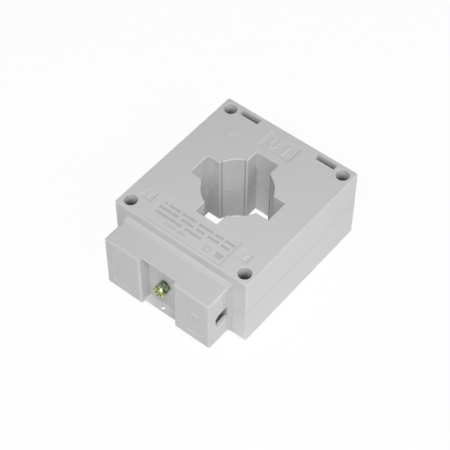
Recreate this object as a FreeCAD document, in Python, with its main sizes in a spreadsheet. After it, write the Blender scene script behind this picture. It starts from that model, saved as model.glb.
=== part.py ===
import FreeCAD, Part
import Sketcher
import math
import os

# Window current transformer, in millimetres.
# The case lies on its back face. +Z points out of the face with the marks,
# +X runs along the terminal side, and the terminal side faces -Y.
# The origin is on the back face, on the axis of the conductor window.

SIZES = {
    "Case": {
        "body_width": 76.4,
        "body_length": 82.7,
        "body_height": 42.0,
        "seam_height": 21.0,
        "case_wall": 2.2,
        "face_wall": 2.4,
        "case_corner_radius": 0.8,
        "case_draft": 0.2,
        "rim_radius": 0.5,
        "seam_edge": 0.2,
        "lip_height": 1.5,
        "lip_thickness": 0.8,
        "lip_clearance": 0.1,
    },
    "Window": {
        "window_step": 5.65,
        "window_slot_width": 12.5,
        "window_edge": 0.5,
        "window_corner_radius": 0.9,
        "window_groove_inset": 0.85,
        "window_groove_width": 0.6,
        "window_groove_depth": 0.5,
        "window_seam_edge": 0.15,
        "tunnel_wall": 1.8,
    },
    "Mounting": {
        "bolt_inset": 5.2,
        "bolt_hole_radius": 3.2,
        "bolt_tube_wall": 1.6,
        "bolt_hole_edge": 0.2,
        "foot_slot_length": 10.8,
        "foot_slot_width": 3.0,
        "foot_slot_side_inset": 15.8,
        "foot_slot_inset": 3.6,
        "foot_duct_wall": 1.2,
    },
    "Marks": {
        "mark_depth": 0.3,
        "primary_mark_width": 18.4,
        "primary_mark_height": 10.3,
        "primary_mark_inset": 9.7,
        "corner_mark_width": 6.5,
        "corner_mark_height": 6.3,
        "corner_mark_left_inset": 9.8,
        "corner_mark_right_inset": 11.1,
        "corner_mark_front_inset": 12.9,
        "cheek_mark_width": 8.0,
        "cheek_mark_height": 22.0,
        "cheek_mark_inset": 8.4,
        "label_depth": 0.15,
        "label_width": 44.0,
        "label_height": 16.8,
        "label_inset": 9.55,
        "gate_mark_radius": 2.0,
        "gate_mark_side_inset": 17.5,
        "gate_mark_back_inset": 18.25,
    },
    "Terminal base": {
        "terminal_bottom": 5.0,
        "terminal_height": 32.0,
        "ledge_inset": 7.7,
        "ledge_depth": 3.4,
        "ledge_edge": 0.6,
        "base_wall": 2.2,
        "tail_room": 1.05,
        "neck_height": 27.0,
        "neck_clearance": 0.15,
        "flange_margin": 1.6,
        "flange_thickness": 1.3,
        "seat_clearance": 0.05,
        "boss_radius": 4.5,
        "cover_boss_end": 6.75,
        "terminal_boss_end": 5.6,
        "boss_floor": 0.6,
        "rib_length": 10.0,
        "rib_thickness": 1.2,
        "rib_height": 2.0,
        "rib_clearance": 0.2,
    },
    "Terminal cover": {
        "cover_inset": 0.2,
        "cover_depth": 13.0,
        "cover_gap": 0.1,
        "cover_wall": 1.5,
        "cover_edge_radius": 1.0,
        "recess_width": 19.6,
        "recess_depth": 6.2,
        "recess_web": 2.2,
        "recess_plate": 1.0,
        "plate_setback": 2.3,
        "plate_edge": 0.35,
        "cheek_radius": 1.3,
        "seal_hole_radius": 1.0,
        "seal_hole_inset": 1.7,
        "wire_slot_depth": 8.25,
        "wire_slot_bottom": 16.5,
        "wire_slot_height": 7.7,
        "wire_slot_radius": 3.0,
        "side_line_near": 1.3,
        "side_line_far": 3.2,
        "side_line_width": 0.5,
        "side_line_depth": 0.15,
    },
    "Fasteners": {
        "shank_radius": 1.95,
        "thread_clearance": 0.05,
        "hole_clearance": 0.25,
        "tip_chamfer": 0.4,
        "cover_head_radius": 2.95,
        "cover_head_height": 5.5,
        "cover_shank_length": 12.0,
        "head_edge": 0.35,
        "drive_slot_width": 0.9,
        "drive_slot_depth": 1.6,
        "seal_bore_radius": 0.8,
        "seal_bore_height": 2.6,
        "ring_groove_radius": 1.5,
        "ring_thickness": 0.6,
        "ring_radius": 3.2,
        "insert_radius": 2.9,
        "insert_length": 7.0,
        "insert_groove_width": 1.4,
        "insert_groove_depth": 0.35,
    },
    "Terminals": {
        "plate_width": 11.0,
        "plate_height": 12.4,
        "plate_thickness": 1.5,
        "plate_recess": 0.5,
        "plate_clearance": 0.1,
        "plate_corner": 1.0,
        "collar_radius": 3.0,
        "collar_length": 2.7,
        "tail_width": 4.0,
        "tail_length": 11.15,
        "clamp_size": 9.0,
        "clamp_thickness": 1.2,
        "clamp_corner": 1.2,
        "spring_radius": 3.6,
        "spring_thickness": 1.0,
        "spring_gap": 0.8,
        "terminal_head_radius": 3.8,
        "terminal_head_height": 2.8,
        "pan_radius": 0.8,
        "terminal_shank_length": 7.4,
    },
    "Coil": {
        "coil_room": 13.2,
        "coil_clearance": 0.3,
        "layer_clearance": 0.05,
        "wrap_thickness": 0.3,
        "wire_diameter": 1.4,
        "cap_thickness": 0.5,
        "cap_gap": 0.4,
        "foam_thickness": 1.5,
        "foam_margin": 1.0,
        "turn_count": 60,
        "winding_gap_angle": 14.0,
        "turn_depth": 0.6,
    },
    "Leads": {
        "lead_rise": 3.0,
        "lead_bend_radius": 2.4,
        "sleeve_wall": 0.45,
        "sleeve_clearance": 0.05,
        "sleeve_end_gap": 0.8,
        "lead_hole_clearance": 0.2,
    },
}

SHEET = "Sizes"


class Size:
    """A number and the sheet expression that it comes from."""

    def __init__(self, value, text):
        self.value = float(value)
        self.text = text

    def __add__(self, other):
        return joined(self, "+", other)

    def __radd__(self, other):
        return joined(other, "+", self)

    def __sub__(self, other):
        return joined(self, "-", other)

    def __rsub__(self, other):
        return joined(other, "-", self)

    def __mul__(self, other):
        return joined(self, "*", other)

    def __rmul__(self, other):
        return joined(other, "*", self)

    def __truediv__(self, other):
        return joined(self, "/", other)

    def __neg__(self):
        return joined(ZERO, "-", self)


def sized(number):
    """Give a plain number the form of a Size."""
    return number if isinstance(number, Size) else Size(number, str(number))


def joined(first, sign, second):
    """Join two sizes into one value and one expression."""
    first, second = sized(first), sized(second)
    results = {
        "+": first.value + second.value,
        "-": first.value - second.value,
        "*": first.value * second.value,
        "/": first.value / second.value if second.value else 0.0,
    }
    return Size(results[sign], "(%s %s %s)" % (first.text, sign, second.text))


def root(square):
    """Square root of a size."""
    return Size(square.value ** 0.5, "sqrt(%s)" % square.text)


def smaller(first, second):
    """The smaller of two sizes."""
    return Size(min(first.value, second.value), "min(%s; %s)" % (first.text, second.text))


ZERO = Size(0, "0")


class Sheet:
    """The driving dimensions, one cell and one alias each."""

    def __init__(self, document):
        self.cells = document.addObject("Spreadsheet::Sheet", SHEET)
        self.values = {}
        row = 1
        for group, entries in SIZES.items():
            self.cells.set("A%d" % row, group)
            row += 1
            for alias, value in entries.items():
                self.cells.set("A%d" % row, alias.replace("_", " "))
                self.cells.set("B%d" % row, str(value))
                self.cells.setAlias("B%d" % row, alias)
                self.values[alias] = value
                row += 1
            row += 1

    def __getattr__(self, alias):
        return Size(self.values[alias], "%s.%s" % (SHEET, alias))


doc = FreeCAD.newDocument("CurrentTransformer")
size = Sheet(doc)
doc.recompute()

HALF = 0.5
SMALL = 1e-4
QUARTER_TURN = math.pi / 2

# Places that several pieces share
case_half_x = size.body_width * HALF
case_half_y = size.body_length * HALF
ledge_face = case_half_y + size.ledge_depth
cover_back = ledge_face + size.cover_gap
cover_front = ledge_face + size.cover_depth
ledge_width = size.body_width - 2 * size.ledge_inset
cover_width = ledge_width - 2 * size.cover_inset
cover_half_x = cover_width * HALF
terminal_top = size.terminal_bottom + size.terminal_height
terminal_level = size.terminal_bottom + size.terminal_height * HALF
recess_face = cover_front - size.recess_depth
web_back = recess_face - size.recess_web
recess_half = size.recess_width * HALF
chamber_near = recess_half + size.cover_wall
chamber_far = cover_half_x - size.cover_wall
chamber_bottom = size.terminal_bottom + size.cover_wall
chamber_top = terminal_top - size.cover_wall
terminal_offset = (chamber_near + chamber_far) * HALF
neck_width = 2 * (terminal_offset + size.tail_width * HALF + size.tail_room + size.base_wall)
wall_inside_y = case_half_y - size.case_wall
flange_back = wall_inside_y - size.seat_clearance - size.flange_thickness
boss_front = web_back - size.ring_thickness - 3 * size.seat_clearance
bore_radius = size.shank_radius + size.thread_clearance
hole_radius = size.shank_radius + size.hole_clearance
cavity_bottom = size.face_wall
cavity_top = size.body_height - size.face_wall
plate_front = ledge_face - size.plate_recess + size.plate_thickness
clamp_front = plate_front + size.clamp_thickness
spring_front = clamp_front + size.spring_thickness
tail_top = terminal_level - size.plate_height * HALF + size.plate_thickness

# Section of the coil, from the case wall and the foam inwards; the window takes what is left
wrap_out = smaller(case_half_x - size.case_wall, flange_back) - size.coil_clearance
window_reach = wrap_out - size.coil_room
window_radius = window_reach - size.window_step
arm_outside = window_reach + size.tunnel_wall
arm_side = size.window_slot_width * HALF + size.tunnel_wall
wrap_in = root(arm_outside * arm_outside + arm_side * arm_side) + size.coil_clearance
wrap_low = cavity_bottom + size.foam_thickness
wrap_high = cavity_top - size.foam_thickness
wrap_step = size.wrap_thickness + size.layer_clearance
wire_step = wrap_step + size.wire_diameter + size.layer_clearance
cap_step = wire_step + size.cap_thickness + size.layer_clearance


class Plan:
    """A sketch on one of its body's origin planes, moved along the plane's normal."""

    def __init__(self, body, role, offset=ZERO):
        self.sketch = body.newObject("Sketcher::SketchObject", "Sketch")
        plane = next(f for f in body.Origin.OriginFeatures if f.Role == role)
        self.sketch.AttachmentSupport = [(plane, "")]
        self.sketch.MapMode = "FlatFace"
        self.sketch.setExpression("AttachmentOffset.Base.z", sized(offset).text)

    def fix(self, kind, *members):
        """Add a dimension and bind it to its expression."""
        amount = members[-1]
        index = self.sketch.addConstraint(Sketcher.Constraint(kind, *members[:-1], amount.value))
        self.sketch.setExpression("Constraints[%d]" % index, amount.text)

    def tie(self, kind, *members):
        """Add a geometric constraint."""
        self.sketch.addConstraint(Sketcher.Constraint(kind, *members))

    def place(self, geometry, point, across, along):
        """Fix a point of the sketch by its two coordinates."""
        for kind, amount, axis in (("DistanceX", across, -2), ("DistanceY", along, -1)):
            if abs(amount.value) < SMALL:
                self.tie("PointOnObject", geometry, point, axis)
            else:
                self.fix(kind, -1, 1, geometry, point, amount)

    def outline(self, points, closed=True):
        """Outline through points given as pairs of sizes.

        A third size in a point makes the stretch to the next point an arc of that radius,
        turning left, or turning right where the radius is negative.
        """
        points = [[sized(amount) for amount in point] for point in points]
        stretches = list(zip(points, points[1:] + points[:1]))
        if not closed:
            stretches.pop()
        ends = []
        for (x, y, *arc), (next_x, next_y, *_) in stretches:
            start = FreeCAD.Vector(x.value, y.value, 0)
            end = FreeCAD.Vector(next_x.value, next_y.value, 0)
            if arc:
                ends.append(self.arc(start, end, arc[0]))
            else:
                line = self.sketch.addGeometry(Part.LineSegment(start, end), False)
                ends.append((line, 1, 2))
            geometry, first, _ = ends[-1]
            self.place(geometry, first, x, y)
        joints = zip(ends, ends[1:] + ends[:1]) if closed else zip(ends, ends[1:])
        for (geometry, _, last), (following, first, _) in joints:
            self.tie("Coincident", geometry, last, following, first)
        if not closed:
            geometry, _, last = ends[-1]
            self.place(geometry, last, *points[-1][:2])
        return self

    def arc(self, start, end, radius):
        """Arc from start to end; gives its number and the numbers of its two ends."""
        chord = end - start
        turn = 1 if radius.value > 0 else -1
        reach = abs(radius.value)
        rise = math.sqrt(max(reach ** 2 - (chord.Length / 2) ** 2, 0.0))
        across = FreeCAD.Vector(-chord.y, chord.x, 0).normalize()
        centre = start + chord * 0.5 + across * (turn * rise)
        first, last = (start, end) if turn > 0 else (end, start)
        angles = [math.atan2(p.y - centre.y, p.x - centre.x) for p in (first, last)]
        circle = Part.Circle(centre, FreeCAD.Vector(0, 0, 1), reach)
        geometry = self.sketch.addGeometry(Part.ArcOfCircle(circle, *angles), False)
        self.fix("Radius", geometry, radius if turn > 0 else -radius)
        return (geometry, 1, 2) if turn > 0 else (geometry, 2, 1)

    def rectangle(self, left, right, low, high):
        """Rectangle between four coordinates."""
        return self.outline([(left, low), (right, low), (right, high), (left, high)])

    def centred(self, width, height, across=ZERO, along=ZERO):
        """Rectangle of a width and height about a centre."""
        across, along = sized(across), sized(along)
        return self.rectangle(
            across - width * HALF, across + width * HALF, along - height * HALF, along + height * HALF
        )

    def rounded(self, left, right, low, high, radius):
        """Rectangle with four round corners."""
        left, right, low, high = (sized(amount) for amount in (left, right, low, high))
        x0, x1, y0, y1, r = left.value, right.value, low.value, high.value, radius.value
        sides = [
            ((x0 + r, y0), (x1 - r, y0)),
            ((x1, y0 + r), (x1, y1 - r)),
            ((x1 - r, y1), (x0 + r, y1)),
            ((x0, y1 - r), (x0, y0 + r)),
        ]
        lines = [
            self.sketch.addGeometry(
                Part.LineSegment(FreeCAD.Vector(*start, 0), FreeCAD.Vector(*end, 0)), False
            )
            for start, end in sides
        ]
        centres = [(x1 - r, y0 + r), (x1 - r, y1 - r), (x0 + r, y1 - r), (x0 + r, y0 + r)]
        arcs = []
        for i, centre in enumerate(centres):
            circle = Part.Circle(FreeCAD.Vector(*centre, 0), FreeCAD.Vector(0, 0, 1), r)
            arc = Part.ArcOfCircle(circle, (i - 1) * QUARTER_TURN, i * QUARTER_TURN)
            arcs.append(self.sketch.addGeometry(arc, False))
        for i in range(4):
            self.tie("Tangent", lines[i], 2, arcs[i], 1)
            self.tie("Tangent", arcs[i], 2, lines[(i + 1) % 4], 1)
        for i, kind in enumerate(("Horizontal", "Vertical", "Horizontal", "Vertical")):
            self.tie(kind, lines[i])
        for arc in arcs[1:]:
            self.tie("Equal", arcs[0], arc)
        self.fix("Radius", arcs[0], radius)
        self.fix("DistanceY", -1, 1, lines[0], 1, low)
        self.fix("DistanceX", -1, 1, lines[1], 1, right)
        self.fix("DistanceY", -1, 1, lines[2], 1, high)
        self.fix("DistanceX", -1, 1, lines[3], 1, left)
        return self

    def circle(self, radius, across=ZERO, along=ZERO):
        """Circle about a centre."""
        across, along, radius = sized(across), sized(along), sized(radius)
        centre = FreeCAD.Vector(across.value, along.value, 0)
        ring = self.sketch.addGeometry(
            Part.Circle(centre, FreeCAD.Vector(0, 0, 1), radius.value), False
        )
        self.place(ring, 3, across, along)
        self.fix("Radius", ring, radius)
        return self


class Piece:
    """One physical piece: a body, its features and its place."""

    made = []

    def __init__(self, label):
        self.body = doc.addObject("PartDesign::Body", "Body")
        self.body.Label = label
        Piece.made.append(self)

    def stand(self, across, outwards, height):
        """Place a piece drawn about +Z so that its axis points out of the terminal side."""
        turned = FreeCAD.Rotation(FreeCAD.Vector(1, 0, 0), 90)
        self.body.Placement = FreeCAD.Placement(FreeCAD.Vector(0, 0, 0), turned)
        self.shift("x", across)
        self.shift("y", -outwards)
        self.shift("z", height)
        return self

    def shift(self, axis, amount):
        """Bind one coordinate of the piece's place."""
        self.body.setExpression("Placement.Base." + axis, sized(amount).text)
        return self

    def plan(self, role, offset=ZERO):
        """New sketch on an origin plane: XY_Plane, XZ_Plane or YZ_Plane."""
        return Plan(self.body, role, offset)

    def feature(self, kind, **settings):
        """Add a feature; sizes are bound to the sheet, other settings are set."""
        before = self.body.Tip.Shape.Volume if self.body.Tip else 0.0
        item = self.body.newObject("PartDesign::" + kind, kind)
        for name, setting in settings.items():
            if isinstance(setting, Size):
                item.setExpression(name, setting.text)
            else:
                setattr(item, name, setting)
        self.body.Tip = item
        doc.recompute()
        if {"Invalid", "Error"} & set(item.State) or item.Shape.isNull():
            raise RuntimeError("%s failed on %s" % (item.Name, self.body.Label))
        if abs(item.Shape.Volume - before) < SMALL:
            raise RuntimeError("%s changed nothing on %s" % (item.Name, self.body.Label))
        return item

    def pad(self, plan, length, **settings):
        """Add material along the sketch's normal."""
        return self.feature("Pad", Profile=plan.sketch, Length=sized(length), **settings)

    def pocket(self, plan, depth, **settings):
        """Take material away, against the sketch's normal."""
        return self.feature("Pocket", Profile=plan.sketch, Length=sized(depth), **settings)

    def pierce(self, plan):
        """Cut through the whole piece, both ways."""
        return self.feature(
            "Pocket", Profile=plan.sketch, Type="ThroughAll", SideType="Symmetric"
        )

    def turn(self, plan, **settings):
        """Turn a section about its sketch's upright axis."""
        axis = (plan.sketch, ["V_Axis"])
        return self.feature("Revolution", Profile=plan.sketch, ReferenceAxis=axis, **settings)

    def pipe(self, section, path):
        """Draw a section along a path."""
        return self.feature("AdditivePipe", Profile=section.sketch, Spine=(path.sketch, []))

    def soften(self, kind, chosen, amount):
        """Fillet or chamfer the edges that a test chooses."""
        base = self.body.Tip
        edges = enumerate(base.Shape.Edges, 1)
        names = ["Edge%d" % number for number, edge in edges if chosen(edge)]
        name = "Radius" if kind == "Fillet" else "Size"
        return self.feature(kind, Base=(base, names), **{name: amount})

    def mirror(self, features):
        """Repeat features on the other side of the YZ plane."""
        plane = next(f for f in self.body.Origin.OriginFeatures if f.Role == "YZ_Plane")
        return self.feature("Mirrored", Originals=features, MirrorPlane=(plane, [""]))


def near(amount, wanted, reach=0.01):
    """Whether a coordinate is at a wanted place."""
    return abs(amount - wanted) < reach


def level_at(edge, height):
    """Whether an edge lies at one height."""
    return near(edge.BoundBox.ZMin, height) and near(edge.BoundBox.ZMax, height)


def within(edge, reach):
    """Whether an edge stays within a distance of both upright planes."""
    box = edge.BoundBox
    return max(abs(box.XMin), abs(box.XMax), abs(box.YMin), abs(box.YMax)) < reach


def upright(edge):
    """Whether an edge is parallel to Z."""
    box = edge.BoundBox
    return box.XLength < SMALL and box.YLength < SMALL


def four_turns(quarter):
    """Points of one quarter, repeated three more times round the origin."""
    points = []
    for _ in range(4):
        points += quarter
        quarter = [(-y, x, *arc) for x, y, *arc in quarter]
    return points


def tunnel_outline(plan):
    """Outside of the tunnel's wall: a circle crossed by two bars."""
    radius = window_radius + size.tunnel_wall
    corner = root(radius * radius - arm_side * arm_side)
    return plan.outline(four_turns([
        (arm_outside, -arm_side), (arm_outside, arm_side), (corner, arm_side, radius),
        (arm_side, corner),
    ]))


def window_outline(plan):
    """The window: a circle crossed by two bar slots, with round corners between them."""
    side, bend = size.window_slot_width * HALF, size.window_corner_radius
    radius = window_radius
    middle = root((radius + bend) * (radius + bend) - (side + bend) * (side + bend))
    share = radius / (radius + bend)
    far, near_side = middle * share, (side + bend) * share
    return plan.outline(four_turns([
        (window_reach, -side), (window_reach, side), (middle, side, -bend),
        (far, near_side, radius), (near_side, far, -bend), (side, middle),
    ]))


def window_grooves(plan):
    """Narrow groove beside each round corner of the window."""
    low = size.window_slot_width * HALF + size.window_groove_inset
    high = low + size.window_groove_width
    corner = root(window_radius * window_radius - low * low)
    start, end = corner - size.window_groove_width, corner + size.window_groove_depth
    for side in (-1, 1):
        for way in (-1, 1):
            plan.centred(end - start, high - low, side * (start + end) * HALF, way * (low + high) * HALF)
            plan.centred(high - low, end - start, way * (low + high) * HALF, side * (start + end) * HALF)
    return plan


def case_outline(plan, inset, radius):
    """Outline of the case, drawn in by an inset."""
    across = case_half_x - inset
    along = case_half_y - inset
    return plan.rounded(-across, across, -along, along, radius)


def lip_outline(plan, clearance):
    """Ring along the inner half of the case wall, wider by a clearance."""
    outer = size.case_wall - size.lip_thickness - clearance
    case_outline(plan, outer, size.case_corner_radius * HALF)
    return case_outline(plan, size.case_wall + clearance, size.case_corner_radius * HALF)


def corner_pillars(plan):
    """Round-cornered pillar round each corner hole."""
    near_side = size.case_wall * HALF
    far_side = size.bolt_inset + size.bolt_hole_radius + size.bolt_tube_wall
    spans_x = ((-case_half_x + near_side, -case_half_x + far_side),
               (case_half_x - far_side, case_half_x - near_side))
    spans_y = ((-case_half_y + near_side, -case_half_y + far_side),
               (case_half_y - far_side, case_half_y - near_side))
    for left, right in spans_x:
        for low, high in spans_y:
            plan.rounded(left, right, low, high, size.bolt_tube_wall)
    return plan


def bolt_circles(plan):
    """One circle at each corner hole."""
    for side_x in (-1, 1):
        for side_y in (-1, 1):
            plan.circle(
                size.bolt_hole_radius,
                side_x * (case_half_x - size.bolt_inset),
                side_y * (case_half_y - size.bolt_inset),
            )
    return plan


def foot_slots(plan, grow):
    """The two slots for mounting feet, wider all round by an amount."""
    for side in (-1, 1):
        plan.centred(
            size.foot_slot_length + 2 * grow,
            size.foot_slot_width + 2 * grow,
            side * (case_half_x - size.foot_slot_side_inset),
            case_half_y - size.foot_slot_inset,
        )
    return plan


def face_marks(plan):
    """Panels of the marks on the face: one at the far edge, one beside each front hole."""
    plan.centred(
        size.primary_mark_width, size.primary_mark_height,
        ZERO, case_half_y - size.primary_mark_inset,
    )
    left = size.corner_mark_left_inset - case_half_x
    right = case_half_x - size.corner_mark_right_inset
    for across in (left, right):
        plan.centred(
            size.corner_mark_width, size.corner_mark_height,
            across, size.corner_mark_front_inset - case_half_y,
        )
    return plan


def label_panel(plan):
    """Shallow panel for the label, and the round mark left by the mould's gate."""
    plan.centred(size.label_width, size.label_height, ZERO, size.label_inset - case_half_y)
    return plan.circle(
        size.gate_mark_radius,
        size.gate_mark_side_inset - case_half_x, case_half_y - size.gate_mark_back_inset,
    )


def half_shell(label, upper):
    """Half of the case, with half of the tunnel, pillars, ducts and front opening."""
    piece = Piece(label)
    seam = size.seam_height
    face = size.body_height if upper else ZERO
    depth = size.body_height - seam if upper else seam
    inside = depth - size.face_wall
    into_face = depth - size.face_wall * HALF
    down = not upper
    piece.pad(
        case_outline(piece.plan("XY_Plane", seam), ZERO, size.case_corner_radius),
        depth, TaperAngle=-size.case_draft, Reversed=down,
    )
    piece.soften("Fillet", lambda edge: level_at(edge, face.value), size.rim_radius)
    piece.soften("Chamfer", lambda edge: level_at(edge, seam.value), size.seam_edge)
    cavity = case_outline(piece.plan("XY_Plane", seam), size.case_wall, size.case_corner_radius * HALF)
    piece.pocket(cavity, inside, Reversed=upper)
    piece.pad(tunnel_outline(piece.plan("XY_Plane", seam)), into_face, Reversed=down)
    piece.pad(corner_pillars(piece.plan("XY_Plane", seam)), into_face, Reversed=down)
    piece.pad(
        foot_slots(piece.plan("XY_Plane", seam), size.foot_duct_wall), into_face, Reversed=down
    )
    if upper:
        rebate = lip_outline(piece.plan("XY_Plane", seam), size.lip_clearance)
        piece.pocket(rebate, size.lip_height + size.lip_clearance, Reversed=True)
    else:
        piece.pad(lip_outline(piece.plan("XY_Plane", seam), ZERO), size.lip_height)
    opening = piece.plan("XZ_Plane", case_half_y + size.case_wall)
    opening.centred(
        neck_width + 2 * size.neck_clearance,
        size.neck_height + 2 * size.neck_clearance,
        ZERO, terminal_level,
    )
    piece.pocket(opening, 2 * size.case_wall)
    piece.pierce(window_outline(piece.plan("XY_Plane", seam)))
    piece.pierce(bolt_circles(piece.plan("XY_Plane", seam)))
    piece.pierce(foot_slots(piece.plan("XY_Plane", seam), ZERO))
    reach = (window_reach + size.window_edge).value
    piece.soften(
        "Fillet", lambda edge: level_at(edge, face.value) and within(edge, reach), size.window_edge
    )
    piece.soften(
        "Chamfer", lambda edge: level_at(edge, seam.value) and within(edge, reach),
        size.window_seam_edge,
    )
    piece.pierce(window_grooves(piece.plan("XY_Plane", seam)))
    hole = size.bolt_hole_radius.value
    piece.soften(
        "Chamfer",
        lambda edge: level_at(edge, face.value) and near(edge.BoundBox.XLength, 2 * hole),
        size.bolt_hole_edge,
    )
    if upper:
        piece.pocket(face_marks(piece.plan("XY_Plane", face)), size.mark_depth)
        piece.pocket(label_panel(piece.plan("XY_Plane", face)), size.label_depth)
    return piece


def terminal_base():
    """Moulding held in the front wall by its flange, with the nests of the terminals."""
    piece = Piece("terminal_base")

    def plan_at(offset):
        """New sketch at a distance towards the terminal side."""
        return piece.plan("XZ_Plane", offset)

    sides = (-terminal_offset, terminal_offset)
    plate = plan_at(case_half_y).centred(ledge_width, size.terminal_height, ZERO, terminal_level)
    piece.pad(plate, size.ledge_depth)
    front = -ledge_face.value
    piece.soften(
        "Fillet",
        lambda edge: near(edge.BoundBox.YMin, front) and near(edge.BoundBox.YMax, front),
        size.ledge_edge,
    )
    neck = plan_at(case_half_y).centred(neck_width, size.neck_height, ZERO, terminal_level)
    piece.pad(neck, size.case_wall + size.seat_clearance, Reversed=True)
    flange = plan_at(flange_back + size.flange_thickness).centred(
        neck_width, size.neck_height + 2 * size.flange_margin, ZERO, terminal_level
    )
    piece.pad(flange, size.flange_thickness, Reversed=True)
    hollow = plan_at(flange_back).centred(
        neck_width - 2 * size.base_wall,
        size.neck_height - 2 * size.base_wall,
        ZERO, terminal_level,
    )
    piece.pocket(hollow, ledge_face - size.base_wall - flange_back, Reversed=True)
    inside_wall = size.base_wall * HALF
    for places, end in ((sides, size.terminal_boss_end), ((ZERO,), size.cover_boss_end)):
        bosses = plan_at(ledge_face - inside_wall)
        for across in places:
            bosses.circle(size.boss_radius, across, terminal_level)
        piece.pad(bosses, end - inside_wall, Reversed=True)
    cover_boss = plan_at(ledge_face).circle(size.boss_radius, ZERO, terminal_level)
    piece.pad(cover_boss, boss_front - ledge_face)
    ribs = plan_at(ledge_face)
    rib_edge = size.terminal_height * HALF - size.cover_wall - size.rib_clearance
    for across in sides:
        for edge in (rib_edge - size.rib_thickness * HALF, size.rib_thickness * HALF - rib_edge):
            ribs.centred(size.rib_length, size.rib_thickness, across, terminal_level + edge)
    piece.pad(ribs, size.rib_height)
    nests = plan_at(ledge_face)
    collars = plan_at(ledge_face)
    tails = plan_at(ledge_face)
    room = 2 * size.plate_clearance
    for across in sides:
        nests.centred(size.plate_width + room, size.plate_height + room, across, terminal_level)
        collars.circle(size.collar_radius + size.plate_clearance, across, terminal_level)
        tails.centred(
            size.tail_width + room, size.plate_thickness + room, across,
            terminal_level - (size.plate_height - size.plate_thickness) * HALF,
        )
    piece.pocket(nests, size.plate_recess)
    piece.pocket(collars, size.terminal_boss_end - size.boss_floor)
    piece.pocket(tails, size.base_wall)
    insert_hole = plan_at(boss_front).circle(
        size.insert_radius + size.seat_clearance, ZERO, terminal_level
    )
    piece.pocket(insert_hole, size.insert_length + size.seat_clearance)
    tip_hole = plan_at(boss_front).circle(hole_radius, ZERO, terminal_level)
    piece.pocket(tip_hole, boss_front - ledge_face + size.cover_boss_end - size.boss_floor)
    return piece


def terminal_cover():
    """Hollow cover with a central recess, a seal tab and a wire slot at each end."""
    piece = Piece("terminal_cover")
    block = piece.plan("XZ_Plane", cover_back)
    block.centred(cover_width, size.terminal_height, ZERO, terminal_level)
    piece.pad(block, cover_front - cover_back)
    back = -cover_back.value
    piece.soften(
        "Fillet",
        lambda edge: not (near(edge.BoundBox.YMin, back) and near(edge.BoundBox.YMax, back)),
        size.cover_edge_radius,
    )
    mouth = recess_half + size.cheek_radius
    lead_in = cover_front - size.cheek_radius
    beyond = cover_front + size.cheek_radius
    recess = piece.plan("XY_Plane", terminal_top).outline([
        (-recess_half, -recess_face),
        (-recess_half, -lead_in, -size.cheek_radius),
        (-mouth, -cover_front),
        (-mouth, -beyond),
        (mouth, -beyond),
        (mouth, -cover_front, -size.cheek_radius),
        (recess_half, -lead_in),
        (recess_half, -recess_face),
    ])
    piece.pierce(recess)
    tab_front = cover_front - size.plate_setback
    overlap = size.recess_web * HALF
    for height in (size.terminal_bottom, terminal_top - size.recess_plate):
        tab = piece.plan("XY_Plane", height)
        tab.rectangle(-recess_half, recess_half, -tab_front, overlap - recess_face)
        piece.pad(tab, size.recess_plate)
    piece.soften(
        "Fillet",
        lambda edge: near(edge.BoundBox.YMin, -tab_front.value)
        and (level_at(edge, size.terminal_bottom.value) or level_at(edge, terminal_top.value)),
        size.plate_edge,
    )
    seal = piece.plan("XY_Plane", size.terminal_bottom + size.recess_plate)
    seal.circle(size.seal_hole_radius, ZERO, size.seal_hole_inset - tab_front)
    piece.pocket(seal, size.recess_plate)
    screw_hole = piece.plan("XZ_Plane", recess_face).circle(hole_radius, ZERO, terminal_level)
    piece.pocket(screw_hole, size.recess_web)
    middle = piece.plan("XZ_Plane", cover_back)
    middle.rectangle(-recess_half, recess_half, chamber_bottom, chamber_top)
    piece.pocket(middle, web_back - cover_back, Reversed=True)
    chamber = piece.plan("XZ_Plane", cover_back)
    chamber.rectangle(chamber_near, chamber_far, chamber_bottom, chamber_top)
    repeated = [piece.pocket(chamber, cover_front - size.cover_wall - cover_back, Reversed=True)]
    repeated.append(piece.pocket(wire_slot(piece), size.cover_wall))
    repeated.append(piece.pocket(side_lines(piece), size.side_line_depth))
    cheek_mark = piece.plan("XZ_Plane", cover_front).centred(
        size.cheek_mark_width, size.cheek_mark_height,
        cover_half_x - size.cheek_mark_inset, terminal_level,
    )
    repeated.append(piece.pocket(cheek_mark, size.mark_depth))
    piece.mirror(repeated)
    return piece


def wire_slot(piece):
    """Side slot for a wire, open to the cover's back edge and round at its end."""
    radius = size.wire_slot_radius
    end = cover_back + size.wire_slot_depth
    low = size.wire_slot_bottom
    high = low + size.wire_slot_height
    beyond = size.cover_wall - cover_back
    return piece.plan("YZ_Plane", cover_half_x).outline([
        (beyond, low),
        (beyond, high),
        (radius - end, high, radius),
        (-end, high - radius),
        (-end, low + radius, radius),
        (radius - end, low),
    ])


def side_lines(piece):
    """Two shallow lines on the cover's end, from the wire slot up to its round edge."""
    plan = piece.plan("YZ_Plane", cover_half_x)
    low = size.wire_slot_bottom + size.wire_slot_height
    high = terminal_top - size.cover_edge_radius
    for place in (size.side_line_near, size.side_line_far):
        across = -(ledge_face + place)
        plan.rectangle(across, across + size.side_line_width, low, high)
    return plan


def strip_core():
    """Ring of wound strip."""
    piece = Piece("strip_core")
    section = piece.plan("XZ_Plane").rectangle(
        wrap_in + cap_step, wrap_out - cap_step, wrap_low + cap_step, wrap_high - cap_step
    )
    piece.turn(section)
    return piece


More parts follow.
